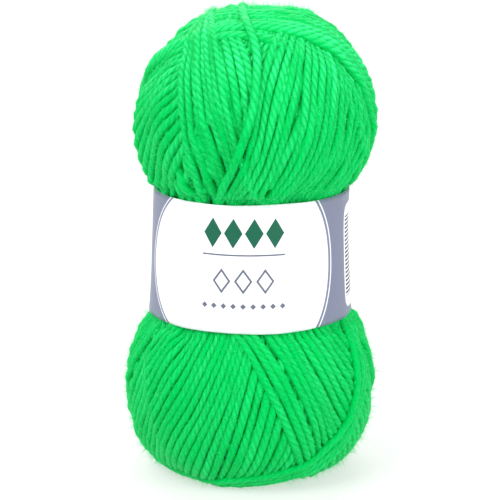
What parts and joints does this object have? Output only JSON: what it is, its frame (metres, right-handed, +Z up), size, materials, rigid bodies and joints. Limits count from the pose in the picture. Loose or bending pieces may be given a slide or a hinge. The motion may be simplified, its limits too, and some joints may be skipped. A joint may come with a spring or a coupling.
{
  "type": "ball of yarn",
  "caption": "Wound ball of green knitting yarn, pinched at the middle by a grey and white paper band, standing on its end.",
  "frame": {"origin": "middle of the flat spot that the ball stands on, under the middle of its outline", "axes": "+Z up along the ball's length, -Y the front of the paper band, +X to the right of the front"},
  "size_m": [0.0692, 0.0674, 0.1255],
  "materials": {
    "yarn": "soft plied acrylic yarn, neon green, matt with a fuzzy halo",
    "paper": "coated printed paper, grey ground with a white panel, slight sheen"
  },
  "bodies": {
    "root": {"yarn_ball": "yarn", "paper_band": "paper"}
  },
  "joints": []
}
